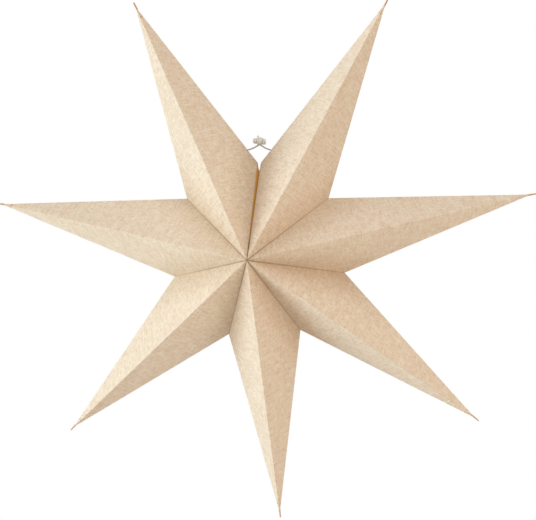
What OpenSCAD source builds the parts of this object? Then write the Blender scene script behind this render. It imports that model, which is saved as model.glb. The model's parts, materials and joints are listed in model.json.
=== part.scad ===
// Seven-pointed star lantern of folded paper. Each point is a hollow pyramid of four flat panels:
// front left, front right, back left and back right, named as seen from the front with the tip up.
// The points are glued to each other along six seams. The seventh seam, at the top, stays open
// and a knotted cord holds it together. Points are numbered from there, anticlockwise from the front.
// Millimetres. The star's axis runs along Y and its front faces -Y.
// The origin is the top of the cord's knot, from which the star hangs.

/* [Star] */
// Distance from the star's centre to the tip of a point
tip_radius = 300; // [220:5:420]
// Distance from the star's centre to the notch between two points
notch_radius = 98.5; // [80:0.5:130]
// Distance from the star's middle plane to its front and back centres
half_depth = 78; // [60:1:110]
// Width of the open seam at the top notch
seam_opening = 3.4; // [3:0.2:10]
// How unevenly the star stands open: how much wider than its even share the first point is, in degrees
wider = 2.4; // [0:0.2:4]

/* [Paper] */
// Thickness of the paper
paper_t = 0.5; // [0.3:0.1:0.8]
// Gap at a crease between the two panels that fold there
crease_gap = 0.2; // [0.1:0.05:0.4]
// Width of the glue flap inside a seam
flap_w = 9; // [5:0.5:12]
// Distance along the seam from the star's front or back centre to the flap
flap_start = 32; // [26:1:44]
// Distance along the seam from the flap to the notch
flap_stop = 10; // [6:1:20]
// Length of each slanted end of the flap
flap_slant = 16; // [6:1:24]
// Angle at which each hem of the open seam leans into the slit
hem_lean = 18; // [12:0.5:24]
// Where the hems start, from the star's centre along the seam
hem_start = 22; // [18:1:40]
// Where the hems stop, from the notch along the seam
hem_stop = 1; // [0.5:0.5:4]
// How far the hems' ends slant over a flap's width
hem_slant = 11.5; // [11.5:0.5:16]

/* [Tips] */
// Length of the pinched tail short of the tip
tail_root = 14; // [8:1:24]
// Length of the pinched tail past the tip
tail_past = 4; // [2:0.5:10]
// Width of the tail where it leaves the panels
tail_w = 5; // [3:0.5:6]
// Width of the tail at its end
tail_end_w = 3; // [1.5:0.5:4]

/* [Tie] */
// Diameter of the cord
cord_d = 1.7; // [1.2:0.1:2.2]
// Diameter of the two holes that the cord goes through
hole_d = 3.2; // [2.8:0.1:4]
// Distance along the edge of a point from the notch to its hole
hole_reach = 17.5; // [12:0.5:26]
// Height of the knot's underside above the notch
knot_rise = 19.4; // [16:0.2:30]
// Width of the knot
knot_w = 14.4; // [11:0.2:18]
// Height of the knot
knot_h = 7.8; // [6:0.2:9]
// Diameter of the stopper knot at each inner end of the cord
stopper_d = 3.4; // [3:0.1:3.6]
// Length of the cut cord end that stands up from the knot
cut_end = 2.4; // [1:0.2:6]

/* [Hidden] */
POINTS = 7;
SEAMS = POINTS - 1;
$fn = 48;

paper_light = [0.93, 0.87, 0.77];
paper_dark = [0.78, 0.66, 0.51];
flap_amber = [0.66, 0.42, 0.16];
cord_grey = [0.72, 0.70, 0.65];

// One point lies along +X. Its left half is between its ridge plane z = 0 and a seam plane at the angle h.
// The star hangs a little unevenly: three points stand wider open than the others, as shares of that value.
UNEVEN = [1, 1, 1, -1.1, -1.1, -0.4, -0.4];
opening_angle = 2 * asin(seam_opening / 2 / notch_radius);
pitch = (360 - opening_angle) / POINTS;
function half_angle(k) = (pitch + wider * UNEVEN[k - 1]) / 2;
function point_angle(k) = k == 1 ? 90 + opening_angle / 2 + half_angle(1)
    : point_angle(k - 1) + half_angle(k - 1) + half_angle(k);
front_centre = [0, -half_depth, 0];
tip = [tip_radius, 0, 0];
function notch(h) = notch_radius * [cos(h), 0, sin(h)];

function unit(v) = v / norm(v);
// The corner where three planes meet, each given as a normal and its offset
function corner(n1, c1, n2, c2, n3, c3) =
    (c1 * cross(n2, n3) + c2 * cross(n3, n1) + c3 * cross(n1, n2)) / (n1 * cross(n2, n3));

ridge_dir = unit(tip - front_centre);
ridge_plane = [0, 0, 1];
middle_plane = [0, -1, 0];
setback = crease_gap / 2;
function seam_dir(h) = unit(notch(h) - front_centre);
function edge_dir(h) = unit(tip - notch(h));
function inward(h) = unit(cross(notch(h) - front_centre, tip - front_centre));
function outer(h) = inward(h) * front_centre;
function seam_plane(h) = [sin(h), 0, -cos(h)];

// The four corners of a panel at one depth below its outer face
function panel_corners(h, depth, short) = let (n = inward(h), level = outer(h) + depth, s = seam_plane(h)) [
    corner(n, level, ridge_plane, setback, s, setback),
    corner(n, level, ridge_plane, setback, ridge_dir, ridge_dir * tip - short),
    corner(n, level, middle_plane, setback, ridge_dir, ridge_dir * tip - short),
    corner(n, level, s, setback, middle_plane, setback)
];
box_faces = [[3, 2, 1, 0], [4, 5, 6, 7], [0, 1, 5, 4], [1, 2, 6, 5], [2, 3, 7, 6], [3, 0, 4, 7]];

// Where the cord goes through the outer edge of a point, and which way
function hole_at(h) = notch(h) + hole_reach * edge_dir(h);
function hole_dir(h) = unit(cross(edge_dir(h), [0, 1, 0]));

// A flat panel with mitred edges, cut off short of the tip where the tail starts
module panel(h, short) {
    polyhedron(concat(panel_corners(h, 0, short), panel_corners(h, paper_t, short)), box_faces);
}

module tie_hole(h) {
    translate(hole_at(h)) rotate([0, atan2(hole_dir(h).x, hole_dir(h).z), 0])
        cylinder(h = 12, d = hole_d, center = true);
}

// A strip on a panel's inner face, along its seam, with slanted ends
flap_inset = 0.4;
seam_len = norm([notch_radius, half_depth]);
function seam_in(h) = unit(cross(inward(h), seam_dir(h)));
function flap_edge(h, depth) =
    max(0, (setback - depth * (seam_plane(h) * inward(h))) / (seam_plane(h) * seam_in(h))) + flap_inset;
function flap_corners(h, depth) = [
    for (p = [
        [flap_start, flap_edge(h, depth)],
        [flap_start + flap_slant, flap_w],
        [seam_len - flap_stop - flap_slant / 2, flap_w],
        [seam_len - flap_stop, flap_edge(h, depth)]
    ]) front_centre + depth * inward(h) + p.x * seam_dir(h) + p.y * seam_in(h)
];

module flap(h) {
    polyhedron(concat(flap_corners(h, paper_t), flap_corners(h, 2 * paper_t)), box_faces);
}

// A hem: a strip folded in under its panel's inner face. It leans into the slit, and its edge meets the
// edge of the hem across the slit in the slit's middle.
hem_gap = 0.15;
function hem_in(h) = unit(cross(seam_dir(h), seam_plane(h)));
function hem_corners(h, depth) = let (
    n = inward(h), top = outer(h) + paper_t, s = seam_plane(h), d = seam_dir(h), d0 = d * front_centre,
    along = cos(hem_lean) * hem_in(h) - sin(hem_lean) * s,
    face = cos(hem_lean) * s + sin(hem_lean) * hem_in(h),
    level = face * corner(n, top, s, setback, d, d0) + depth,
    middle = seam_plane(h + opening_angle / 2),
    start = unit(flap_w * d - hem_slant * along),
    stop = unit(flap_w * d + hem_slant * along),
    at_start = start * (front_centre + hem_start * d),
    at_stop = stop * (front_centre + (seam_len - hem_stop) * d)
) [
    corner(n, top, face, level, start, at_start),
    corner(middle, hem_gap, face, level, start, at_start),
    corner(middle, hem_gap, face, level, stop, at_stop),
    corner(n, top, face, level, stop, at_stop)
];

module hem(h) {
    polyhedron(concat(hem_corners(h, paper_t), hem_corners(h, 0)), box_faces);
}

// The pinched tail: a flat strip of two layers along the ridge of the front left panel
function tail_in(h) = unit(cross(ridge_dir, inward(h)));
function tail_corners(h, depth) = [
    for (p = [
        [-tail_root, -tail_w / 2],
        [tail_past, -tail_end_w / 2],
        [tail_past, tail_end_w / 2],
        [-tail_root, tail_w / 2]
    ]) tip + depth * inward(h) + p.x * ridge_dir + p.y * tail_in(h)
];
other_panel_gap = 0.6;

module tail(h) {
    polyhedron(concat(tail_corners(h, 0), tail_corners(h, 2 * paper_t)), box_faces);
}

// From the star's centre to the origin at the top of the knot
notch_height = notch_radius * cos(opening_angle / 2);
centre_z = -(notch_height + knot_rise + knot_h);
module at_point(k) {
    translate([0, 0, centre_z]) rotate([0, -point_angle(k), 0]) children();
}
module to_right() {
    mirror([0, 0, 1]) children();
}
module to_back() {
    mirror([0, 1, 0]) children();
}

// One module for each kind of panel of a point
module front_left(k) {
    color(paper_light) at_point(k) difference() {
        panel(half_angle(k), tail_root);
        if (k == POINTS) tie_hole(half_angle(k));
    }
}
module front_right(k) {
    color(paper_dark) at_point(k) to_right() difference() {
        panel(half_angle(k), tail_root + other_panel_gap);
        if (k == 1) tie_hole(half_angle(k));
    }
}
module back_left(k) {
    color(paper_light) at_point(k) to_back() difference() {
        panel(half_angle(k), tail_root + other_panel_gap);
        if (k == POINTS) tie_hole(half_angle(k));
    }
}
module back_right(k) {
    color(paper_dark) at_point(k) to_back() to_right() difference() {
        panel(half_angle(k), tail_root + other_panel_gap);
        if (k == 1) tie_hole(half_angle(k));
    }
}
module tip_tail(k) {
    color(flap_amber) at_point(k) tail(half_angle(k));
}

// The flap of seam k comes from point k and is glued under the right panels of point k + 1
module seam_flap_front(k) {
    color(flap_amber) at_point(k + 1) to_right() flap(half_angle(k + 1));
}
module seam_flap_back(k) {
    color(flap_amber) at_point(k + 1) to_back() to_right() flap(half_angle(k + 1));
}

// The two sides of the open seam are hemmed, front and back
module hem_first_front() {
    color(flap_amber) at_point(1) to_right() hem(half_angle(1));
}
module hem_first_back() {
    color(flap_amber) at_point(1) to_back() to_right() hem(half_angle(1));
}
module hem_last_front() {
    color(flap_amber) at_point(POINTS) hem(half_angle(POINTS));
}
module hem_last_back() {
    color(flap_amber) at_point(POINTS) to_back() hem(half_angle(POINTS));
}

// The cord's route in the plane y = 0, as [x, z] from the star's centre, on its left side,
// for a first point of half angle h
function to_left(h, v) = let (a = 90 + opening_angle / 2 + h)
    [cos(a) * v.x + sin(a) * v.z, sin(a) * v.x - cos(a) * v.z];
knot_bottom = notch_height + knot_rise;
cord_end = [-cord_d, knot_bottom - cord_d / 2];
stopper_gap = 0.1;
function stopper_depth(h) = (stopper_d / 2 + paper_t + stopper_gap) / abs(hole_dir(h) * inward(h));
route_steps = 10;
function bezier(a, b, c, d, t) =
    pow(1 - t, 3) * a + 3 * pow(1 - t, 2) * t * b + 3 * (1 - t) * t * t * c + t * t * t * d;
function route(h) = let (hole = to_left(h, hole_at(h)), dir = to_left(h, hole_dir(h))) concat(
    [hole - stopper_depth(h) * dir],
    [for (i = [0:route_steps]) bezier(
        hole, hole + hole_reach / 8 * dir + [hole_reach / 5, 0], cord_end - [hole_reach / 5, hole_reach / 8],
        cord_end, i / route_steps)]
);
cord_sides = 8;
last = route_steps + 1;
function cord_points(route) = [
    for (i = [0:last], s = [0:cord_sides - 1])
        let (a = 360 * s / cord_sides, r = cord_d / 2)
        let (t = unit(route[min(i + 1, last)] - route[max(i - 1, 0)]))
        [route[i].x + r * cos(a) * t.y, r * sin(a), route[i].y - r * cos(a) * t.x]
];
cord_faces = concat(
    [[for (s = [0:cord_sides - 1]) s]],
    [for (i = [0:last - 1], s = [0:cord_sides - 1])
        [i * cord_sides + s, (i + 1) * cord_sides + s,
            (i + 1) * cord_sides + (s + 1) % cord_sides, i * cord_sides + (s + 1) % cord_sides]],
    [[for (s = [cord_sides - 1:-1:0]) last * cord_sides + s]]
);

module tie_cord(route) {
    translate([0, 0, centre_z]) union() {
        polyhedron(cord_points(route), cord_faces);
        translate([route[0].x, 0, route[0].y]) sphere(d = stopper_d);
    }
}
module tie_cord_left() {
    color(cord_grey) tie_cord(route(half_angle(1)));
}
module tie_cord_right() {
    color(cord_grey) mirror([1, 0, 0]) tie_cord(route(half_angle(POINTS)));
}

// Two round lobes side by side with a wrap between them, and one cut end
lobe_r = knot_h / 4 - 0.05;
lobe_x = (knot_w - knot_h) / 2;
wrap_r = cord_d * 0.6;
cut_x = -cord_d;
module turn(major, minor) {
    rotate_extrude() translate([major, 0]) circle(r = minor);
}
module tie_knot() {
    color(cord_grey) translate([0, 0, -knot_h / 2]) union() {
        for (side = [-1, 1])
            translate([side * lobe_x, 0, 0]) rotate([90, 0, 0]) turn(knot_h / 2 - lobe_r, lobe_r);
        rotate([0, 90, 0]) turn(knot_h / 2 - wrap_r, wrap_r);
        translate([cut_x, 0, knot_h / 4]) cylinder(h = knot_h / 4 + cut_end, d = cord_d * 0.8);
    }
}

for (k = [1:POINTS]) {
    front_left(k);
    front_right(k);
    back_left(k);
    back_right(k);
    tip_tail(k);
}
for (k = [1:SEAMS]) {
    seam_flap_front(k);
    seam_flap_back(k);
}
hem_first_front();
hem_first_back();
hem_last_front();
hem_last_back();
tie_cord_left();
tie_cord_right();
tie_knot();
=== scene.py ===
"""Looks of a seven-pointed folded paper star, hung by its tie knot, built round the CAD model.

Metres, +Z up. The star's front faces -Y and its axis runs along Y through CENTRE. Each point is
read from its CAD panels in a frame of its own: X along the point, Y the depth, Z across it,
positive on its left side. Waves, weave and wear are written in millimetres of paper.
"""

import json
import math

import bmesh
import bpy
from mathutils import Matrix, Vector, geometry, noise


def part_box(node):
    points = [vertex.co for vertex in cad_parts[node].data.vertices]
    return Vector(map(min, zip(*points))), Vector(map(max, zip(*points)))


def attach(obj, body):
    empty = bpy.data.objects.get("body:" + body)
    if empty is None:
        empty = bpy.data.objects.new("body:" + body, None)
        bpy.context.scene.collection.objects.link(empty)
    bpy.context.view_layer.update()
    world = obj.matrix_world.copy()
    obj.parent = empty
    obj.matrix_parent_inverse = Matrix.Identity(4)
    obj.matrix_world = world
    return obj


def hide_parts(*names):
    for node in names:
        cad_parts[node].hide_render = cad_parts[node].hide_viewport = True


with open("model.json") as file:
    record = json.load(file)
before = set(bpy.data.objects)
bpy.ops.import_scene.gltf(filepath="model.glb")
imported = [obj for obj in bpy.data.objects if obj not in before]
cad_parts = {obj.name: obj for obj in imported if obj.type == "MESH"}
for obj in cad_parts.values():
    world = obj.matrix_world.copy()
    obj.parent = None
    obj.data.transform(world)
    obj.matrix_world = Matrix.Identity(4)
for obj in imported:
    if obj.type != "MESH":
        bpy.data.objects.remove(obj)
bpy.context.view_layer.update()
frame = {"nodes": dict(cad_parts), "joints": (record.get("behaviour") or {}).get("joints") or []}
nodes = frame["nodes"]
joints = {joint["name"]: joint for joint in frame["joints"]}

POINTS = 7
MM = 0.001
FRONT, BACK = -1, 1  # which way a panel faces along Y
LEFT, RIGHT = 1, -1  # which side of its ridge a panel is on


def star_centre():
    """Where the ridge hinges of points 1 and 3 cross, seen from the front."""
    lines = []
    for name in ("ridge_1", "ridge_3"):
        at, axis = Vector(joints[name]["pos_m"]), Vector(joints[name]["axis"])
        at.y = axis.y = 0
        lines += [at, at + axis]
    return geometry.intersect_line_line(*lines)[0]


CENTRE = star_centre()

# ---------------------------------------------------------------- camera
FRAME_W = 536  # pixels
FOCAL_PX = 950.9
SENSOR_W = 36  # mm
CAMERA_AT = (0.1480, -1.0331, -0.0099)
CAMERA_RIGHT = (0.99092, 0.13310, 0.01882)
CAMERA_FORWARD = (-0.12998, 0.98444, -0.11820)


def make_camera():
    data = bpy.data.cameras.new("camera")
    data.sensor_width = SENSOR_W
    data.lens = FOCAL_PX * data.sensor_width / FRAME_W
    data.clip_start, data.clip_end = 0.05, 50
    camera = bpy.data.objects.new("camera", data)
    bpy.context.scene.collection.objects.link(camera)
    right, forward = Vector(CAMERA_RIGHT).normalized(), Vector(CAMERA_FORWARD).normalized()
    up = right.cross(forward).normalized()
    right = forward.cross(up)
    turn = Matrix((right, up, -forward)).transposed()
    camera.matrix_world = Matrix.Translation(CAMERA_AT) @ turn.to_4x4()
    bpy.context.scene.camera = camera


make_camera()


# ---------------------------------------------------------------- material helpers
class Graph:
    """A material's node tree, written as expressions."""

    def __init__(self, name):
        self.material = bpy.data.materials.new(name)
        self.material.use_nodes = True
        self.tree = self.material.node_tree
        self.tree.nodes.clear()

    def node(self, kind, **settings):
        made = self.tree.nodes.new(kind)
        for key, value in settings.items():
            setattr(made, key, value)
        return made

    def put(self, socket, value):
        if isinstance(value, bpy.types.NodeSocket):
            self.tree.links.new(value, socket)
        else:
            socket.default_value = value

    def math(self, operation, a, b=0.0, c=0.0):
        made = self.node("ShaderNodeMath", operation=operation)
        for socket, value in zip(made.inputs, (a, b, c)):
            self.put(socket, value)
        return made.outputs[0]

    def times(self, a, b):
        return self.math("MULTIPLY", a, b)

    def vary(self, value, middle, share, level=1.0):
        """The level, changed by that share of how far the value is from its middle."""
        return self.math("MULTIPLY_ADD", self.math("SUBTRACT", value, middle), share, level)

    def join(self, x=0.0, y=0.0, z=0.0):
        made = self.node("ShaderNodeCombineXYZ")
        for socket, value in zip(made.inputs, (x, y, z)):
            self.put(socket, value)
        return made.outputs[0]

    def split(self, vector):
        made = self.node("ShaderNodeSeparateXYZ")
        self.put(made.inputs[0], vector)
        return made.outputs

    def noise(self, vector, scale, detail=2.0, roughness=0.5):
        made = self.node("ShaderNodeTexNoise")
        self.put(made.inputs["Vector"], vector)
        made.inputs["Scale"].default_value = scale
        made.inputs["Detail"].default_value = detail
        made.inputs["Roughness"].default_value = roughness
        return made.outputs[0]

    def ramp(self, value, low, high, out_low, out_high):
        made = self.node("ShaderNodeMapRange", interpolation_type="SMOOTHSTEP")
        for socket, number in zip(made.inputs, (value, low, high, out_low, out_high)):
            self.put(socket, number)
        return made.outputs[0]

    def mix(self, share, a, b):
        made = self.node("ShaderNodeMix", data_type="RGBA", clamp_result=True)
        self.put(made.inputs[0], share)
        for socket, value in zip((made.inputs[6], made.inputs[7]), (a, b)):
            self.put(socket, value if isinstance(value, bpy.types.NodeSocket) else (*value, 1.0))
        return made.outputs[2]

    def tint(self, colour, factor):
        """The colour, or any vector, times a number."""
        made = self.node("ShaderNodeVectorMath", operation="SCALE")
        self.put(made.inputs[0], colour)
        self.put(made.inputs["Scale"], factor)
        return made.outputs[0]

    def map_mm(self, name):
        """A UV map's coordinates in millimetres."""
        return self.tint(self.node("ShaderNodeUVMap", uv_map=name).outputs[0], 1 / MM)

    def object_mm(self, scale=1.0):
        """The place in the object in millimetres, times a scale."""
        return self.tint(self.node("ShaderNodeTexCoord").outputs["Object"], scale / MM)

    def finish(self, colour, roughness, height, depth, sheen=0.0, specular=0.3):
        """One Principled surface with a bump of that depth in metres."""
        bump = self.node("ShaderNodeBump")
        bump.inputs["Distance"].default_value = depth
        self.put(bump.inputs["Height"], height)
        shader = self.node("ShaderNodeBsdfPrincipled")
        self.put(shader.inputs["Base Color"], colour)
        self.put(shader.inputs["Roughness"], roughness)
        shader.inputs["Specular IOR Level"].default_value = specular
        shader.inputs["Sheen Weight"].default_value = sheen
        self.put(shader.inputs["Normal"], bump.outputs[0])
        out = self.node("ShaderNodeOutputMaterial")
        self.tree.links.new(shader.outputs[0], out.inputs["Surface"])
        return self.material


# ---------------------------------------------------------------- linen face of the paper
LINEN = (0.87, 0.715, 0.55)
LINEN_DARK = (0.60, 0.44, 0.27)
# The paper's brown core: it shows where ridges and outer edges are worn, and serves as painted shade
# along outer edges and seams
WORN_AND_SHADED = (0.46, 0.26, 0.10)
TONE_SWING = (1.0, 1.35, 1.85)  # darker threads, and the painted shade, are browner: red changes least, blue most

THREAD = 1.25  # mm from one thread of the weave to the next
THREAD_STEP = 3.17  # how far apart two neighbouring threads lie in the slubs' noise
ACROSS_STREAK, ALONG_STREAK = 0.08, 0.15  # how quickly a thread's tone changes along it, per mm
WANDER, WANDER_SCALE = 1.6, 0.05  # mm that the threads stray, and how quickly, per mm
WEAVE_BUMP = 0.30 * MM

# How much of the tone each layer gives; the relief's share is painted shade, darker between the threads
THREAD_TONE, GRAIN_TONE, RELIEF_PAINTED_SHADE, BLOTCH_TONE = 0.44, 0.42, 0.14, 0.06

# Ramps: from, to, value there and value there. The distances are in mm.
MIDDLE_PAINTED_SHADE = (-40.0, 290.0, 0.89, 1.07)  # along the point: painted shade, darker towards the star's middle, and painted light through the paper, lighter towards the tips
SEAM_PAINTED_SHADE = (-5.0, 42.0, 0.89, 1.015)  # from the seam: painted shade, darker and browner in the valley beside it
FLECK_SHARE = (0.60, 0.76, 0.0, 0.30)  # flecks of darker flax, by their noise
RIDGE_LINE = (1.0, 2.4, 0.95, 0.0)  # wear from the ridge, in reaches of its rough border
RIDGE_DASHES = (0.35, 0.62, 0.1, 1.0)  # a worn ridge is broken into dashes, by their noise
EDGE_WEAR_AND_SHADE_LINE = (0.4, 1.3, 0.4, 0.0)  # wear and painted shade along the outer edge, in the same reaches
SEAM_SHADE_AND_WEAR_LINE = (0.2, 0.9, 0.35, 0.0)  # a dark line at the seam: painted shade in its valley, and its worn raw edge
TIP_FADE = (235.0, 285.0, 1.0, 0.15)  # along the point: the ridge's wear, and the outer edge's wear and painted shade, stop before the tip
WEAR_REACH = 1.1  # mm, where the rough border's noise is 1


def weave(g, along, across):
    """Height and thread tone of a plain weave with slubs, from two coordinates in millimetres."""
    strays = [g.noise(g.join(along, across, z), WANDER_SCALE, 1.0) for z in (0.0, 40.0)]
    u, v = (g.math("ADD", c, g.times(stray, WANDER)) for c, stray in zip((along, across), strays))
    warp, weft = g.math("DIVIDE", u, THREAD), g.math("DIVIDE", v, THREAD)
    warp_no, weft_no = g.math("FLOOR", warp), g.math("FLOOR", weft)
    over = g.math("MODULO", g.math("ABSOLUTE", g.math("ADD", warp_no, weft_no)), 2.0)
    warp_round = g.math("ABSOLUTE", g.math("SINE", g.times(warp, math.pi)))
    weft_round = g.math("ABSOLUTE", g.math("SINE", g.times(weft, math.pi)))
    height = g.math("MULTIPLY_ADD", over, g.math("SUBTRACT", warp_round, weft_round), weft_round)
    warp_at = g.join(g.times(warp_no, THREAD_STEP), g.times(v, ACROSS_STREAK))
    weft_at = g.join(g.times(u, ALONG_STREAK), g.times(weft_no, THREAD_STEP), 5.0)
    warp_slub, weft_slub = (g.noise(at, 1.0, roughness=0.6) for at in (warp_at, weft_at))
    return height, g.math("ADD", warp_slub, weft_slub)


def linen_wear_and_shade(g, sheet_mm, u):
    """How far the creases are darkened to the brown core: worn at ridges and outer edges, and painted
    shade along outer edges and in the seam's valley.
    """
    ridge_mm, seam_mm, _ = g.split(g.map_mm("creases"))
    edge_mm, ridge_share, _ = g.split(g.map_mm("edge"))
    reach = g.times(g.noise(sheet_mm, 0.5, detail=3.0, roughness=0.7), WEAR_REACH)
    dashes = g.ramp(g.noise(g.join(g.times(u, 0.33)), 1.0, roughness=0.7), *RIDGE_DASHES)
    ridge = g.ramp(g.math("DIVIDE", ridge_mm, reach), *RIDGE_LINE)
    ridge = g.times(ridge, g.times(ridge_share, dashes))
    # The outer edge's dark line: wear, and painted shade
    edge = g.ramp(g.math("DIVIDE", edge_mm, reach), *EDGE_WEAR_AND_SHADE_LINE)
    outer = g.times(g.math("MAXIMUM", ridge, edge), g.ramp(u, *TIP_FADE))
    # The seam's dark line: painted shade in its valley, and its worn raw edge
    return g.math("MAXIMUM", outer, g.ramp(seam_mm, *SEAM_SHADE_AND_WEAR_LINE)), seam_mm


def make_linen():
    g = Graph("linen_paper_face")
    mm = g.map_mm("sheet")
    u, v, _ = g.split(mm)
    wear_and_shade, seam_mm = linen_wear_and_shade(g, mm, u)
    height, threads = weave(g, u, v)
    blotch = g.noise(mm, 0.035, detail=3.0, roughness=0.6)
    grain = g.noise(mm, 1.25, roughness=0.6)
    fleck = g.noise(g.join(g.times(u, 0.25), g.times(v, 1.4)), 1.0, roughness=0.7)
    level = g.vary(threads, 1.0, THREAD_TONE)
    level = g.vary(blotch, 0.5, BLOTCH_TONE, level)
    level = g.vary(grain, 0.5, GRAIN_TONE, level)
    # Painted shade: darker in the hollows between the threads
    level = g.vary(height, 0.6, RELIEF_PAINTED_SHADE, level)
    # Painted shade darker towards the star's middle, and painted light lighter towards the tips
    level = g.times(level, g.ramp(u, *MIDDLE_PAINTED_SHADE))
    # Painted shade in the valley beside the seam
    level = g.times(level, g.ramp(seam_mm, *SEAM_PAINTED_SHADE))
    base = g.split(g.mix(g.ramp(fleck, *FLECK_SHARE), LINEN, LINEN_DARK))
    toned = [g.times(c, g.math("POWER", level, swing)) for c, swing in zip(base, TONE_SWING)]
    # Worn ridges and edges, and the painted shade along outer edges and seams, take the brown core
    # colour
    colour = g.mix(wear_and_shade, g.join(*toned), WORN_AND_SHADED)
    rough = g.math("MULTIPLY_ADD", grain, 0.14, 0.76)
    return g.finish(colour, rough, height, WEAVE_BUMP, sheen=0.12, specular=0.25)


# ---------------------------------------------------------------- brown back of the paper, and cord
BACK_PAPER = (0.64, 0.33, 0.085)
# The hems are the brown back paper painted lighter and yellower, a painted glow of light through the
# paper in the slit; the turned hem is painted lighter still
HEM_PAPER_PAINTED_GLOW = (0.86, 0.53, 0.12)
TURNED_PAPER_PAINTED_LIGHT = (0.90, 0.66, 0.36)
TAIL_PAPER = (0.60, 0.37, 0.22)
CUT_PAPER = (0.74, 0.47, 0.20)
CORD = (0.90, 0.90, 0.87)
# The strands' cord is the knot's cotton painted darker, as painted shade
CORD_PAINTED_SHADE = (0.56, 0.56, 0.54)
FIBRE_BUMP = 0.12 * MM
HAIR_BUMP = 0.08 * MM


def make_back_paper(name, base, scale=1.0):
    """The uncoated back of the paper: mottled, with short fibres, finer at a higher scale."""
    g = Graph(name)
    mm = g.object_mm(scale)
    mottle = g.noise(mm, 0.09, detail=3.0, roughness=0.6)
    fibre = g.noise(mm, 1.6, detail=4.0, roughness=0.75)
    level = g.vary(fibre, 0.5, 0.22, g.vary(mottle, 0.5, 0.28))
    rough = g.math("MULTIPLY_ADD", fibre, 0.2, 0.78)
    return g.finish(g.tint(base, level), rough, fibre, FIBRE_BUMP, specular=0.2)


def make_cord_yarn(name, base):
    """Cotton: fine hairs along each ply, and patches of soil."""
    g = Graph(name)
    mm = g.map_mm("sheet")
    u, v, _ = g.split(mm)
    hair = g.noise(g.join(g.times(u, 1.1), g.times(v, 9.0)), 1.0, detail=3.0, roughness=0.7)
    soil = g.noise(mm, 0.35)
    level = g.vary(soil, 0.5, 0.2, g.vary(hair, 0.5, 0.35))
    rough = g.math("MULTIPLY_ADD", hair, 0.2, 0.72)
    return g.finish(g.tint(base, level), rough, hair, HAIR_BUMP, sheen=0.3, specular=0.25)


linen = make_linen()
back_paper = make_back_paper("back_paper_face", BACK_PAPER)
# The hems' papers carry a painted glow of light through the paper
hem_paper_painted_glow = make_back_paper("hem_paper_painted_glow_face", HEM_PAPER_PAINTED_GLOW, 1.5)
turned_paper_painted_light = make_back_paper("hem_paper_turned_painted_light", TURNED_PAPER_PAINTED_LIGHT, 1.5)
cut_paper = make_back_paper("cut_paper_edge", CUT_PAPER, 3.0)
tail_paper = make_back_paper("tail_back_paper", TAIL_PAPER, 2.0)
yarn = make_cord_yarn("cord_yarn", CORD)
painted_shade_yarn = make_cord_yarn("cord_yarn_painted_shade", CORD_PAINTED_SHADE)


# ---------------------------------------------------------------- mesh helpers
def new_mesh(name, points, faces, turn_outward=False):
    mesh = bpy.data.meshes.new(name)
    mesh.from_pydata(points, [], faces)
    if turn_outward:
        bm = bmesh.new()
        bm.from_mesh(mesh)
        bmesh.ops.recalc_face_normals(bm, faces=bm.faces)
        bm.to_mesh(mesh)
        bm.free()
    return mesh


def add_map(mesh, name, values):
    """A UV map from one pair of values for each vertex."""
    uv = mesh.uv_layers.new(name=name)
    for loop in mesh.loops:
        uv.data[loop.index].uv = values[loop.vertex_index]


def shade_smooth(mesh, sharp_degrees):
    mesh.polygons.foreach_set("use_smooth", [True] * len(mesh.polygons))
    mesh.set_sharp_from_angle(angle=math.radians(sharp_degrees))


def new_piece(name, mesh, body, slot, *replaced):
    piece = bpy.data.objects.new(name, mesh)
    bpy.context.scene.collection.objects.link(piece)
    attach(piece, body)
    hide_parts(*replaced)
    return piece


LINEN_SIDE, BACK_SIDE, CUT_SIDE = 0, 1, 2  # the places of a sheet's three materials


def dress_sheet(mesh, sheet, creases, kinds, back):
    """Materials, the weave's coordinates in metres, the distances to the creases, and the wear.

    Each row of creases holds the distances to ridge, seam and outer edge in mm, and the ridge's wear.
    """
    for material in (linen, back, cut_paper):
        mesh.materials.append(material)
    mesh.polygons.foreach_set("material_index", kinds)
    add_map(mesh, "sheet", sheet)
    add_map(mesh, "creases", [(row[0] * MM, row[1] * MM) for row in creases])
    add_map(mesh, "edge", [(row[2] * MM, row[3] * MM) for row in creases])
    shade_smooth(mesh, 35)
    mesh.update()


# ---------------------------------------------------------------- panels
CLOSED = 0.02 * MM  # half of the hairline left at a crease
SEAM_SHIFT = 0.08 * MM  # how far a panel moves towards its seam, to close the CAD's gap there
ON_PLANE = 0.15 * MM  # how near to a plane a corner counts as lying on it
ROUND_REACH, ROUND_DROP = 0.7, 0.16  # mm: the outer face is rounded off beside ridge and outer edge
COLUMNS, FIRST_COLUMN = 34, 0.0022  # steps along a panel, and the first one's share of its length
ROWS, FIRST_ROW = 12, 0.004  # steps across a panel, and the first one's share of its width

# The paper's slow waves, in mm: length along the point, length across it, height
WAVES = ((75, 45, 0.75), (28, 22, 0.22))
CALM_RIDGE, CALM_SEAM, CALM_EDGE = 16, 16, 12  # mm from each crease where the waves are full
# Fine puckers beside a ridge, in mm: their length, how far they reach, and where they are full
PUCKER_LENGTH, PUCKER_REACH = 7.5, 4.5
PUCKER_FROM_RIDGE, PUCKER_FROM_SEAM = 1.5, 20
# How strongly each point's ridge is puckered, in mm, and how worn it is, from the photograph
PUCKER = {1: 0.05, 2: 0.08, 3: 0.05, 4: 0.06, 5: 0.22, 6: 0.12, 7: 0.2}
RIDGE_WEAR = {1: 0.08, 2: 0.0, 3: 0.05, 4: 0.08, 5: 0.6, 6: 0.9, 7: 0.4}

# Where a sheet lies in the weave, in metres: its shift from one point to the next, and of the back
POINT_SHIFT = (0.41, 0.23)
BACK_SHIFT = 0.19


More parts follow.
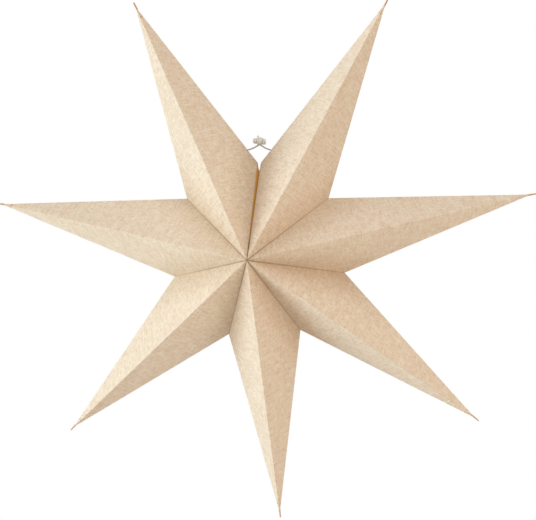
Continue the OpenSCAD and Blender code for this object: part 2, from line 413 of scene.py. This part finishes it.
def point_frame(k):
    """Turns a point's own coordinates into the star's; the point's angle is its ridge hinge's."""
    axis = Vector(joints[f"ridge_{k}"]["axis"])
    if axis.y < 0:
        axis.negate()
    angle = math.atan2(axis.z, axis.x)
    x, y = Vector((math.cos(angle), 0, math.sin(angle))), Vector((0, 1, 0))
    turn = Matrix((x, y, x.cross(y))).transposed()
    return Matrix.Translation(CENTRE) @ turn.to_4x4()


def panel_name(k, face, side):
    return f"point_{k}_{'front' if face == FRONT else 'back'}_{'left' if side == LEFT else 'right'}"


def panel_corners(k, face, side):
    """Outer and inner corners of a CAD panel in its point's frame, and its outward direction.

    The corners are the centre, the ridge's end, the outer edge's end and the notch.
    """
    inverse = point_frame(k).inverted()
    vertices = nodes[panel_name(k, face, side)].data.vertices
    found = {tuple(round(c, 6) for c in inverse @ v.co) for v in vertices}
    ridge = sorted(p for p in found if abs(p[2]) < ON_PLANE)
    edge = sorted(p for p in found if abs(p[1]) < ON_PLANE)
    pairs = [[Vector(p) for p in ends] for ends in (ridge[:2], ridge[-2:], edge[-2:], edge[:2])]
    normal = (pairs[1][0] - pairs[0][0]).cross(pairs[3][0] - pairs[0][0]).normalized()
    if normal.y * face < 0:
        normal.negate()
    outer = [max(pair, key=normal.dot) for pair in pairs]
    inner = [min(pair, key=normal.dot) for pair in pairs]
    return outer, inner, normal


def close_gap(corners, face, side, half_angle):
    """Moves a panel's creases from the CAD's clearance to a hairline."""
    shift = SEAM_SHIFT * Vector((-math.sin(half_angle), 0, side * math.cos(half_angle)))
    moved = [Vector(corner) for corner in corners]
    for i in (0, 3):
        moved[i] += shift
    for i in (0, 1):
        moved[i].z = side * CLOSED
    for i in (2, 3):
        moved[i].y = face * CLOSED
    return moved


def closed_corners(k, face, side):
    """A panel's corners and outward direction, with its creases closed."""
    outer, inner, normal = panel_corners(k, face, side)
    half_angle = math.atan2(abs(outer[3].z), outer[3].x)
    return *(close_gap(corners, face, side, half_angle) for corners in (outer, inner)), normal


def spread(count, first):
    """Shares from 0 to 1 in even steps, but for two fine ones at each end."""
    second, free = 2.6 * first, 4 * first
    middle = [i / count for i in range(1, count)]
    middle = [share for share in middle if free < share < 1 - free]
    return [0.0, first, second, *middle, 1 - second, 1 - first, 1.0]


def distance_mm(p, a, b, normal):
    """Distance in millimetres from p to the line through a and b, within the panel's plane."""
    across = normal.cross((b - a).normalized())
    return abs((p - a).dot(across)) / MM


def relief(k, u, v, d_ridge, d_seam, d_edge, seed, hand):
    """How far the paper stands off its flat panel, all in mm: at u along the panel and v across it."""
    calm = min(1.0, d_ridge / CALM_RIDGE) * min(1.0, d_seam / CALM_SEAM) * min(1.0, d_edge / CALM_EDGE)
    waves = sum(
        height * noise.noise(Vector((u / along, v / across, seed + 9 * i)))
        for i, (along, across, height) in enumerate(WAVES)
    )
    pucker = noise.noise(Vector((u / PUCKER_LENGTH, seed, hand * 3.0)))
    pucker *= math.exp(-d_ridge / PUCKER_REACH)
    pucker *= min(1.0, d_ridge / PUCKER_FROM_RIDGE) * min(1.0, d_seam / PUCKER_FROM_SEAM)
    return waves * calm + PUCKER[k] * pucker


def rounding(d_ridge, d_edge):
    """How far the outer face drops beside its ridge and its outer edge, in mm."""
    near = (max(0.0, 1 - d / ROUND_REACH) ** 2 for d in (d_ridge, d_edge))
    return ROUND_DROP * min(1.0, sum(near))


def sheet_faces(n, m):
    """Faces of a closed sheet, two grids of n by m points and their rim, and each face's material."""
    def at(level, i, j):
        return (level * n + i) * m + j

    faces, kinds = [], []
    for i in range(n - 1):
        for j in range(m - 1):
            faces.append((at(0, i, j), at(0, i + 1, j), at(0, i + 1, j + 1), at(0, i, j + 1)))
            faces.append((at(1, i, j), at(1, i, j + 1), at(1, i + 1, j + 1), at(1, i + 1, j)))
            kinds += [LINEN_SIDE, BACK_SIDE]
    rim = [(i, 0) for i in range(n)] + [(n - 1, j) for j in range(1, m)]
    rim += [(i, m - 1) for i in range(n - 2, -1, -1)] + [(0, j) for j in range(m - 2, 0, -1)]
    for here, there in zip(rim, rim[1:] + rim[:1]):
        faces.append((at(0, *there), at(0, *here), at(1, *here), at(1, *there)))
        kinds.append(CUT_SIDE)
    return faces, kinds


def panel_mesh(k, face, side):
    """A sheet of paper in a CAD panel's place: slightly wavy between its creases, rounded along them."""
    outer, inner, normal = closed_corners(k, face, side)
    along = (outer[1] - outer[0]).normalized()
    across = normal.cross(along)
    if across.z * side < 0:
        across.negate()
    seed = 31.7 * k + 7.3 * (face == BACK) + 3.1 * (side == LEFT)
    shift_u = POINT_SHIFT[0] * k + (BACK_SHIFT if face == BACK else 0)
    shift_v = POINT_SHIFT[1] * k
    columns, rows = spread(COLUMNS, FIRST_COLUMN), spread(ROWS, FIRST_ROW)
    points, sheet, creases = [], [], []
    for corners in (outer, inner):
        centre, ridge_end, edge_end, notch = corners
        for s in columns:
            a, b = centre.lerp(ridge_end, s), notch.lerp(edge_end, s)
            for t in rows:
                p = a.lerp(b, t)
                lines = ((centre, ridge_end), (centre, notch), (notch, edge_end))
                d_ridge, d_seam, d_edge = (distance_mm(p, *line, normal) for line in lines)
                u, v = (p - centre).dot(along), (p - centre).dot(across)
                lift = relief(k, u / MM, v / MM, d_ridge, d_seam, d_edge, seed, side * face)
                if corners is outer:
                    lift -= rounding(d_ridge, d_edge)
                points.append(p + normal * lift * MM)
                sheet.append((u + shift_u, v * side + shift_v))
                creases.append((d_ridge, d_seam, d_edge, RIDGE_WEAR[k]))
    faces, kinds = sheet_faces(len(columns), len(rows))
    first = [points[i] for i in faces[0]]
    if (first[1] - first[0]).cross(first[3] - first[0]).dot(normal) < 0:
        faces = [f[::-1] for f in faces]
    place = point_frame(k)
    mesh = new_mesh(f"paper_{panel_name(k, face, side)}", [place @ p for p in points], faces)
    dress_sheet(mesh, sheet, creases, kinds, back_paper)
    return mesh


# ---------------------------------------------------------------- tie holes
HOLE_D = 3.2 * MM
HOLE_REACH = 17.5 * MM  # from the notch, along the outer edge
HOLE_SIDES = 40
PUNCH_LENGTH = 12 * MM


def tie_hole(k, outer):
    """Where the cord crosses a point's outer edge, and which way: square to the edge and upwards."""
    notch, end = Vector(outer[3]), Vector(outer[2])
    notch.y = end.y = 0
    edge = (end - notch).normalized()
    place = point_frame(k)
    through = place.to_3x3() @ edge.cross(Vector((0, 1, 0))).normalized()
    if through.z < 0:
        through.negate()
    return place @ (notch + HOLE_REACH * edge), through


def punch(piece, k, outer):
    """Cuts the tie hole that a panel shares with its neighbour across the outer edge."""
    at, through = tie_hole(k, outer)
    bm = bmesh.new()
    size = {"radius1": HOLE_D / 2, "radius2": HOLE_D / 2, "depth": PUNCH_LENGTH}
    bmesh.ops.create_cone(bm, cap_ends=True, segments=HOLE_SIDES, **size)
    turn = through.to_track_quat("Z", "Y").to_matrix().to_4x4()
    bmesh.ops.transform(bm, matrix=Matrix.Translation(at) @ turn, verts=bm.verts)
    cutter_mesh = bpy.data.meshes.new("cutter")
    bm.to_mesh(cutter_mesh)
    bm.free()
    cutter_mesh.materials.append(cut_paper)
    cutter = bpy.data.objects.new("cutter", cutter_mesh)
    bpy.context.scene.collection.objects.link(cutter)
    cut = piece.modifiers.new("hole", "BOOLEAN")
    cut.operation, cut.object, cut.solver = "DIFFERENCE", cutter, "EXACT"
    bpy.context.view_layer.update()
    graph = bpy.context.evaluated_depsgraph_get()
    shown = piece.evaluated_get(graph)
    made = bpy.data.meshes.new_from_object(shown, preserve_all_data_layers=True, depsgraph=graph)
    piece.modifiers.clear()
    made.name = piece.data.name
    piece.data = made
    bpy.data.objects.remove(cutter)


def make_panels():
    for k in range(1, POINTS + 1):
        for face in (FRONT, BACK):
            for side in (LEFT, RIGHT):
                name = panel_name(k, face, side)
                mesh = panel_mesh(k, face, side)
                piece = new_piece(f"paper_{name}", mesh, name, "linen_paper", name)
                if (k, side) in ((1, RIGHT), (POINTS, LEFT)):
                    punch(piece, k, closed_corners(k, face, side)[0])


make_panels()

# ---------------------------------------------------------------- pinched tips
TIP_RADIUS = 300 * MM
HALF_DEPTH = 78 * MM
TAIL_ROOT, TAIL_PAST = 14 * MM, 4 * MM  # where a tail starts before its tip, and ends past it
TAIL_GAP = 0.1 * MM  # from the panels' ends to the tail
TAIL_STEPS, TAIL_SIDES = 26, 24
PINCHED_AT = 0.75  # share of the tail's length after which it is pinched flat
FLAT_DEPTH, FLAT_DEPTH_LOSS = 0.62 * MM, 0.2 * MM  # half of the flat part's depth
FLAT_WIDTH, FLAT_WIDTH_LOSS = 1.23 * MM, 0.33 * MM  # half of the flat part's width
ROUNDED = 0.6  # how round the rhomb becomes
TWIST = {1: 40, 2: -35, 3: 45, 4: 35, 5: 50, 6: 45, 7: 55}  # degrees at the end
TWIST_START, TWIST_POWER = 0.2, 1.4
BEND, BEND_WAVE, BEND_IN_DEPTH = 0.3 * MM, 5.0, 0.6  # a slight wave, and its share in depth
FRAY, WRINKLE = 0.35 * MM, 0.10
TAIL_SHIFT, TAIL_GIRTH = 0.31, 1.2 * MM  # the tail's place in the weave, and its radius there
FAR_FROM_CREASES = (9.0, 9.0, 9.0, 0.0)  # mm from ridge, seam and edge, and the ridge's wear

# The outer layer ends at this share of the tail's length, and the brown one shows beyond it,
# between these shares of the girth, which move round with the twist
OUTER_END = 0.5
BROWN_FROM, BROWN_TO, BROWN_TURN = 0.42, 0.84, 0.5


def tail_section(s, slopes):
    """A tail's cross-section at share s of its length: place, depth, widths on both sides, ease."""
    short = TAIL_ROOT - TAIL_GAP - s * (TAIL_ROOT + TAIL_PAST - TAIL_GAP)
    ease = min(1.0, s / PINCHED_AT)
    ease = ease * ease * (3 - 2 * ease)
    open_depth = max(short, 0.0) / TIP_RADIUS * HALF_DEPTH
    depth = (1 - ease) * open_depth + ease * (FLAT_DEPTH - FLAT_DEPTH_LOSS * s)
    flat_width = FLAT_WIDTH - FLAT_WIDTH_LOSS * s
    widths = [(1 - ease) * max(short, 0.0) * slope + ease * flat_width for slope in slopes]
    return short, depth, widths, ease


def tail_points(k, i, slopes):
    """The points round one cross-section, and their places in the weave."""
    s = i / TAIL_STEPS
    short, depth, widths, ease = tail_section(s, slopes)
    twist_angle = math.radians(TWIST[k]) * max(0.0, s - TWIST_START) ** TWIST_POWER
    twist = Matrix.Rotation(twist_angle, 3, "X")
    bend = BEND * math.sin(BEND_WAVE * s + k) * s
    points, sheet = [], []
    for j in range(TAIL_SIDES):
        a = 2 * math.pi * j / TAIL_SIDES
        c, d = math.cos(a), math.sin(a)
        rhomb = 1 / (abs(c) + abs(d))
        r = (1 - ROUNDED * ease) * rhomb + ROUNDED * ease
        width = widths[0] if c > 0 else widths[1]
        fray = FRAY * noise.noise(Vector((j * 0.7, k * 5.1, 2.0))) if i == TAIL_STEPS else 0.0
        wrinkle = 1 + WRINKLE * ease * noise.noise(Vector((s * 7, c * 1.5, d * 1.5 + k * 3.3)))
        flat = Vector((0, -d * r * depth * wrinkle, c * r * width * wrinkle))
        middle = Vector((TIP_RADIUS - short + fray, bend * BEND_IN_DEPTH, bend))
        points.append(middle + twist @ flat)
        sheet.append((TAIL_SHIFT + POINT_SHIFT[0] * k - short, a * TAIL_GIRTH + POINT_SHIFT[1] * k))
    return points, sheet


def tail_mesh(k):
    """The four panels' ends pinched together: a hollow rhomb that flattens, narrows and twists."""
    notches = [panel_corners(k, FRONT, side)[0][3] for side in (LEFT, RIGHT)]
    slopes = [abs(notch.z) / (TIP_RADIUS - notch.x) for notch in notches]
    points, sheet, faces, kinds = [], [], [], []
    for i in range(TAIL_STEPS + 1):
        section, places = tail_points(k, i, slopes)
        points += section
        sheet += places
    sides = TAIL_SIDES
    for i in range(TAIL_STEPS):
        s = i / TAIL_STEPS
        for j in range(sides):
            j2 = (j + 1) % sides
            faces.append((i * sides + j, i * sides + j2, (i + 1) * sides + j2, (i + 1) * sides + j))
            turned = ((j + 0.5) / sides + BROWN_TURN * s) % 1.0
            brown = s > OUTER_END and BROWN_FROM < turned < BROWN_TO
            kinds.append(BACK_SIDE if brown else LINEN_SIDE)
    faces += [tuple(range(sides - 1, -1, -1)), tuple(TAIL_STEPS * sides + j for j in range(sides))]
    kinds += [CUT_SIDE, BACK_SIDE]
    place = point_frame(k)
    mesh = new_mesh(f"paper_tip_tail_{k}", [place @ p for p in points], faces, turn_outward=True)
    # The tail lies far from the creases, clear of their wear and painted shade lines
    dress_sheet(mesh, sheet, [FAR_FROM_CREASES] * len(points), kinds, tail_paper)
    return mesh


def make_tails():
    for k in range(1, POINTS + 1):
        name, body = f"tip_tail_{k}", panel_name(k, FRONT, LEFT)
        new_piece(f"paper_{name}", tail_mesh(k), body, "paper_flap", name)


make_tails()


# ---------------------------------------------------------------- flaps and hems keep their CAD shape
def paint_flaps():
    # The hems take the back paper with its painted glow
    papers = {"hem_first": hem_paper_painted_glow, "hem_last": turned_paper_painted_light, "seam": back_paper}
    for name, node in nodes.items():
        for start, paper in papers.items():
            if name.startswith(start):
                node.data.materials.clear()
                node.data.materials.append(paper)


paint_flaps()

# ---------------------------------------------------------------- tie cord and knot
CORD_D = 1.7 * MM
STOPPER_D = 3.4 * MM
KNOT_LOW, KNOT_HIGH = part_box("tie_knot")  # the knot's top is the origin, its cut end stands above it
KNOT_W, KNOT_H, CUT_END = KNOT_HIGH[0] - KNOT_LOW[0], -KNOT_LOW[2], KNOT_HIGH[2]
PLIES, PLY_SIDES, LAY = 3, 8, 5.2 * MM  # the lay is the length of one turn of a ply
PLY_SWELL = 1.12  # the plies are pressed into each other
PLY_SHIFT, HAIR_SLANT = 0.3, 0.5  # each ply's own hairs (m apart), and how they slant along it

ROUTE_STEPS, INSIDE_STEPS = 44, 6
INSIDE = 3.6 * MM  # from the hole in to the stopper knot
RUN_ON, RUN_ON_STEPS = 0.3 * MM, 5  # the strand's end is lost in the knot
STOPPER_STEPS = 40

# The knot is wound from slightly looser cord. Its turns lie round its long axis, in mm:
# place along it, outer radius and drop, and their lean, all from the photograph
KNOT_CORD_D = 2.3 * MM
KNOT_TURNS = [
    (-6.0, 2.9, -0.1, 0.10),
    (-4.3, 3.3, -0.1, 0.06),
    (-2.0, 4.1, 0.0, 0.03),
    (-0.1, 4.3, 0.0, 0.0),
    (1.8, 4.1, 0.0, -0.02),
    (4.0, 3.6, 0.4, -0.14),
    (5.8, 3.2, 0.6, -0.20),
]
TURN_STEPS, INNER_STEPS = 64, 40
INNER_TURN = 1.3 * KNOT_CORD_D  # from a turn's outer radius in to the turn under it
# Straight cords fill the knot's middle, and a cut end stands up from it, leaning a little
CORES, CORE_REACH, FIRST_CORE_REACH, CORE_SHORT = 5, 0.9 * MM, 0.2 * MM, 2.6 * MM
CORE_STEPS, CUT_STEPS = 10, 12
CUT_LEAN, CUT_SHORT = 0.3 * MM, 0.4 * MM


def route_sides(route, closed):
    """Along a route: its tangents, a side that turns as little as it can, lengths so far and total."""
    count = len(route)
    tangents = []
    for i in range(count):
        before = route[i - 1] if i or closed else route[0]
        after = route[(i + 1) % count] if i + 1 < count or closed else route[-1]
        tangents.append((after - before).normalized())
    side = tangents[0].orthogonal().normalized()
    sides, lengths, total = [], [], 0.0
    for i in range(count):
        side = (side - tangents[i] * side.dot(tangents[i])).normalized()
        sides.append(side.copy())
        lengths.append(total)
        total += (route[(i + 1) % count] - route[i]).length
    return tangents, sides, lengths, total


def loop_slip(tangents, sides):
    """The angle by which a closed route's side misses its start, after one turn round the route."""
    end = (sides[-1] - tangents[0] * sides[-1].dot(tangents[0])).normalized()
    slip = end.angle(sides[0])
    return -slip if end.cross(sides[0]).dot(tangents[0]) < 0 else slip


def plied(name, routes, diameter, material):
    """Twisted cord along each route, a list of points and whether it is a closed loop, as one mesh."""
    points, faces, uvs = [], [], []
    ply_r = PLY_SWELL * diameter / 2 / (1 + 1 / math.sin(math.pi / PLIES))
    offset = diameter / 2 - ply_r
    for route, closed in routes:
        count = len(route)
        tangents, sides, lengths, total = route_sides(route, closed)
        turns = max(1, round(total / LAY)) if closed else total / LAY
        slip = loop_slip(tangents, sides) if closed else 0.0
        for ply in range(PLIES):
            base = len(points)
            for i in range(count):
                share = lengths[i] / total
                spin = 2 * math.pi * (turns * share + ply / PLIES) + slip * share
                other = tangents[i].cross(sides[i])
                centre = route[i] + offset * (math.cos(spin) * sides[i] + math.sin(spin) * other)
                for s in range(PLY_SIDES):
                    a = 2 * math.pi * s / PLY_SIDES
                    points.append(centre + ply_r * (math.cos(a) * sides[i] + math.sin(a) * other))
                    uvs.append((lengths[i] + PLY_SHIFT * ply, a * ply_r + HAIR_SLANT * lengths[i]))
            for i in range(count if closed else count - 1):
                for s in range(PLY_SIDES):
                    i2, s2 = (i + 1) % count, (s + 1) % PLY_SIDES
                    corners = ((i, s), (i, s2), (i2, s2), (i2, s))
                    faces.append([base + row * PLY_SIDES + column for row, column in corners])
            if not closed:
                faces.append([base + s for s in reversed(range(PLY_SIDES))])
                faces.append([base + (count - 1) * PLY_SIDES + s for s in range(PLY_SIDES)])
    mesh = new_mesh(name, points, faces, turn_outward=True)
    add_map(mesh, "sheet", uvs)
    mesh.materials.append(material)
    shade_smooth(mesh, 60)
    return mesh


def bezier(a, b, c, d, t):
    return (1 - t) ** 3 * a + 3 * (1 - t) ** 2 * t * b + 3 * (1 - t) * t * t * c + t**3 * d


def ring(centre, x, y, radius, count, start=0.0):
    angles = [start + 2 * math.pi * i / count for i in range(count)]
    return [centre + radius * (math.cos(a) * x + math.sin(a) * y) for a in angles]


def line(start, end, steps):
    return [start.lerp(end, i / steps) for i in range(steps + 1)]


def strand_route(k, side):
    """From the stopper knot inside the hole, out through it and up to just under the knot."""
    hole, out = tie_hole(k, panel_corners(k, FRONT, side)[0])
    to_side = Vector((-1 if hole.x < 0 else 1, 0, 0))
    knot_end = CORD_D * to_side - Vector((0, 0, KNOT_H + CORD_D / 2))
    lead_out = hole + HOLE_REACH / 8 * out - HOLE_REACH / 5 * to_side
    pull = knot_end + HOLE_REACH / 5 * to_side - Vector((0, 0, HOLE_REACH / 8))
    steps = range(ROUTE_STEPS + 1)
    curve = [bezier(hole, lead_out, pull, knot_end, i / ROUTE_STEPS) for i in steps]
    rise = (curve[-1] - curve[-2]).normalized()
    curve += [curve[-1] + rise * RUN_ON * i for i in range(1, RUN_ON_STEPS + 1)]
    inside = hole - out * INSIDE
    return line(inside, hole, INSIDE_STEPS)[:-1] + curve, inside, out


def make_strands():
    for k, side, name in ((1, RIGHT, "tie_cord_left"), (POINTS, LEFT, "tie_cord_right")):
        route, inside, out = strand_route(k, side)
        a = out.orthogonal().normalized()
        b = out.cross(a)
        radius = (STOPPER_D - CORD_D) / 2
        stopper = [
            (ring(inside, a, b, radius * 0.98, STOPPER_STEPS), True),
            (ring(inside, out, a, radius * 0.9, STOPPER_STEPS), True),
        ]
        # The strands use the cord painted darker as shade
        mesh = plied(f"{name}_plied", [(route, False), *stopper], CORD_D, painted_shade_yarn)
        new_piece(f"{name}_plied", mesh, panel_name(k, FRONT, side), "cord", name)


def make_knot():
    x, y, z = Vector((1, 0, 0)), Vector((0, 1, 0)), Vector((0, 0, 1))
    middle = Vector((0, 0, -KNOT_H / 2))
    routes = []
    for place, outer_mm, drop, lean in KNOT_TURNS:
        axis_y = (y + x * lean).normalized()
        centre = middle + x * place * MM - z * drop * MM
        outer_r, inner_r = outer_mm * MM - KNOT_CORD_D / 2, outer_mm * MM - INNER_TURN
        routes.append((ring(centre, axis_y, z, outer_r, TURN_STEPS, place), True))
        routes.append((ring(centre, axis_y, z, inner_r, INNER_STEPS, place + 1.0), True))
    for i in range(CORES):
        a = 2 * math.pi * i / CORES
        reach = CORE_REACH if i else FIRST_CORE_REACH
        spoke = middle + (y * math.cos(a) + z * math.sin(a)) * reach
        half = x * (KNOT_W - CORE_SHORT) / 2
        routes.append((line(spoke - half, spoke + half, CORE_STEPS), False))
    foot = Vector((-CORD_D, 0, -KNOT_H / 3))
    top = Vector((-CORD_D - CUT_LEAN, 0, CUT_END - CUT_SHORT))
    routes.append((line(foot, top, CUT_STEPS), False))
    mesh = plied("tie_knot_plied", routes, KNOT_CORD_D, yarn)
    new_piece("tie_knot_plied", mesh, panel_name(1, FRONT, RIGHT), "cord", "tie_knot")


make_strands()
make_knot()

# ---------------------------------------------------------------- floor, lamps and white surround
FLOOR_GREY = (0.86, 0.86, 0.86)
FLOOR_HALF, FLOOR_Z = 1.6, -1.35

# Place and size in metres, watts and colour
LAMPS = {
    "key": ((-2.20, -0.89, -0.46), (1.6, 2.2), 46, (0.87, 0.975, 1.0)),
    "left": ((-2.0, -1.0, 0.9), (1.4, 1.4), 7, (0.95, 0.98, 1.0)),
    "top": ((0.3, -1.2, 2.1), (1.4, 1.4), 20, (0.98, 1.0, 1.0)),
    "fill": ((1.25, -0.75, -0.25), (1.0, 1.4), 8.8, (1.0, 0.865, 0.74)),
}
WORLD_STRENGTH, WORLD_COLOUR = 0.37, (1.0, 0.83, 0.66)
WHITE = (1.0, 1.0, 1.0)


def make_floor():
    g = Graph("pale_floor")
    speck = g.noise(g.node("ShaderNodeTexCoord").outputs["Object"], 60.0)
    colour = g.tint(FLOOR_GREY, g.math("MULTIPLY_ADD", speck, 0.03, 0.985))
    signs = ((-1, -1), (1, -1), (1, 1), (-1, 1))
    corners = [(x * FLOOR_HALF, y * FLOOR_HALF, FLOOR_Z) for x, y in signs]
    mesh = new_mesh("floor", corners, [(0, 1, 2, 3)])
    mesh.materials.append(g.finish(colour, 0.8, speck, 0.05 * MM))
    floor = bpy.data.objects.new("floor", mesh)
    bpy.context.scene.collection.objects.link(floor)


def make_lamp(name, at, size, watts, colour):
    data = bpy.data.lights.new(name, "AREA")
    data.shape, data.size, data.size_y = "RECTANGLE", *size
    data.energy, data.color = watts, colour
    lamp = bpy.data.objects.new(name, data)
    lamp.location = at
    lamp.rotation_mode = "QUATERNION"
    lamp.rotation_quaternion = (Vector(at) - CENTRE).to_track_quat("Z", "Y")
    bpy.context.scene.collection.objects.link(lamp)


def make_world(strength, colour):
    """White to the camera and in reflections, a plain fill light to everything else."""
    world = bpy.data.worlds.new("studio")
    world.use_nodes = True
    tree = world.node_tree
    tree.nodes.clear()
    path = tree.nodes.new("ShaderNodeLightPath")
    seen = path.outputs["Is Camera Ray"]
    for ray in ("Is Glossy Ray", "Is Transmission Ray"):
        either = tree.nodes.new("ShaderNodeMath")
        either.operation = "MAXIMUM"
        tree.links.new(seen, either.inputs[0])
        tree.links.new(path.outputs[ray], either.inputs[1])
        seen = either.outputs[0]
    level = tree.nodes.new("ShaderNodeMapRange")
    level.inputs["To Min"].default_value, level.inputs["To Max"].default_value = strength, 1.0
    tree.links.new(seen, level.inputs["Value"])
    tint = tree.nodes.new("ShaderNodeMix")
    tint.data_type = "RGBA"
    tint.inputs[6].default_value, tint.inputs[7].default_value = (*colour, 1.0), (*WHITE, 1.0)
    tree.links.new(seen, tint.inputs[0])
    light = tree.nodes.new("ShaderNodeBackground")
    tree.links.new(level.outputs[0], light.inputs["Strength"])
    tree.links.new(tint.outputs[2], light.inputs["Color"])
    out = tree.nodes.new("ShaderNodeOutputWorld")
    tree.links.new(light.outputs[0], out.inputs["Surface"])
    bpy.context.scene.world = world


make_floor()
for lamp_name, settings in LAMPS.items():
    make_lamp(lamp_name, *settings)
make_world(WORLD_STRENGTH, WORLD_COLOUR)
bpy.context.scene.view_settings.view_transform = "Standard"
